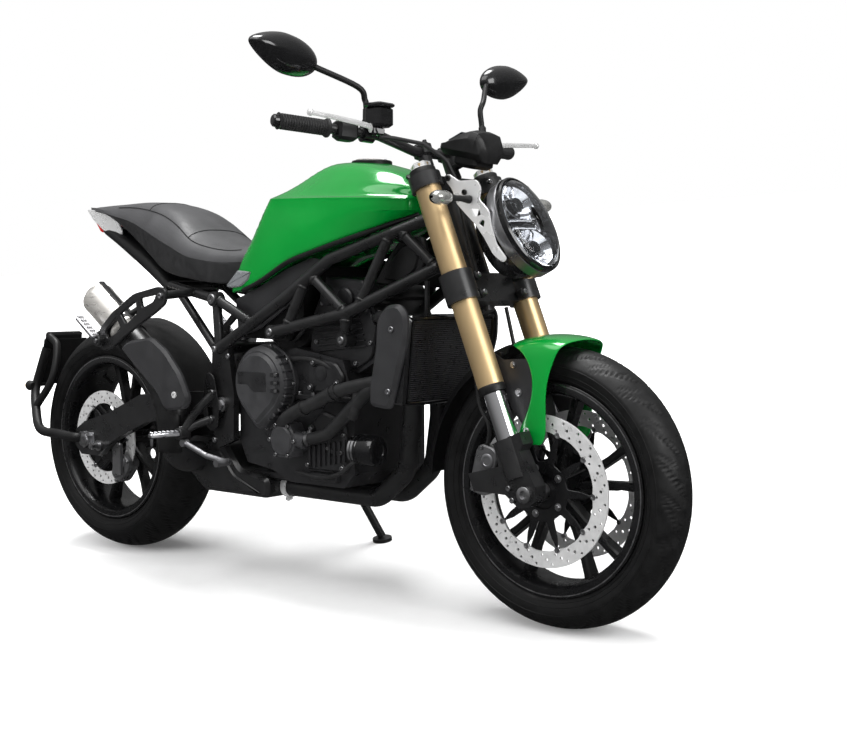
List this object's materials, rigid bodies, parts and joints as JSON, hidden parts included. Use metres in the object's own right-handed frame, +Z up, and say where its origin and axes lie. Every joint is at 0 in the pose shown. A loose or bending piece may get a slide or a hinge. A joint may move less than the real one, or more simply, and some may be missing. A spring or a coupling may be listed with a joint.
{
  "type": "standard motorcycle",
  "caption": "Standard motorcycle parked on its side stand: trellis frame, upside-down fork, cast wheels, chain drive, round-ended tank and one-piece seat.",
  "frame": {"origin": "ground level under the middle of the motorcycle's bounding box", "axes": "+X the way it rides, +Y to the rider's left, +Z up from the ground; it leans to the left on its side stand"},
  "size_m": [2.108, 0.9202, 1.3135],
  "materials": {
    "tyre": "matte",
    "rim": "satin",
    "disc": "brushed",
    "gold": "satin",
    "chrome": "polished",
    "black_metal": "satin",
    "green_paint": "gloss",
    "grey_plastic": "matte",
    "black_plastic": "matte",
    "seat": "matte",
    "frame": "satin",
    "engine": "satin",
    "silver": "satin",
    "steel": "brushed",
    "rubber": "matte",
    "lens": "clear",
    "lamp": "gloss"
  },
  "bodies": {
    "chassis": {"chain": "steel", "rear_axle": "steel", "paddock_spools": "steel", "frame": "frame", "subframe": "frame", "swingarm": "black_metal", "pivot_bolt": "steel", "rear_shock": "steel", "engine": "engine", "engine_covers": "engine", "oil_filter": "black_metal", "radiator": "black_metal", "radiator_shrouds": "grey_plastic", "coolant_hoses": "rubber", "exhaust_headers": "black_metal", "exhaust_box": "grey_plastic", "exhaust_link": "black_metal", "silencer": "silver", "fuel_tank": "green_paint", "seat": "seat", "tail_cowl": "black_plastic", "tail_light": "lamp", "airbox": "black_plastic", "side_panels": "grey_plastic", "rear_hugger": "black_plastic", "plate_holder": "black_metal", "footpegs": "silver", "foot_pedals": "silver", "passenger_hangers": "black_metal", "rear_brake": "silver"},
    "steering": {"fork_tubes": "gold", "fork_stanchions": "chrome", "fork_feet": "black_metal", "triple_clamps": "black_metal", "front_calipers": "silver", "front_axle": "steel", "front_fender": "green_paint", "fender_rear": "black_plastic", "fender_sides": "grey_plastic", "handlebar": "black_metal", "grips": "rubber", "bar_controls": "black_plastic", "levers": "silver", "mirrors": "black_plastic", "dash": "black_plastic", "headlight": "silver", "headlight_lens": "lens", "headlight_brackets": "silver", "front_indicators": "lamp", "brake_hoses": "rubber"},
    "front_wheel": {"front_tyre": "tyre", "front_rim": "rim", "front_discs": "disc"},
    "rear_wheel": {"rear_tyre": "tyre", "rear_rim": "rim", "rear_disc": "disc", "rear_sprocket": "steel"},
    "side_stand": {"side_stand": "black_metal"}
  },
  "joints": [
    {"name": "steering_turn", "type": "hinge", "parent": "chassis", "child": "steering", "pos_m": [0.52868, -0.07558, 0.73902], "axis": [-0.3746, 0.145, 0.9158], "range_deg": [-30, 30]},
    {"name": "front_wheel_turn", "type": "hinge", "parent": "steering", "child": "front_wheel", "pos_m": [0.754, -0.14571, 0.29631], "axis": [0, 0.9877, -0.1564], "continuous": true},
    {"name": "rear_wheel_turn", "type": "hinge", "parent": "chassis", "child": "rear_wheel", "pos_m": [-0.706, -0.14336, 0.31112], "axis": [0, 0.9877, -0.1564], "continuous": true},
    {"name": "side_stand_fold", "type": "hinge", "parent": "chassis", "child": "side_stand", "pos_m": [-0.128, 0.03643, 0.34036], "axis": [0.0518, 0.9719, 0.2297], "range_deg": [0, 96]}
  ]
}
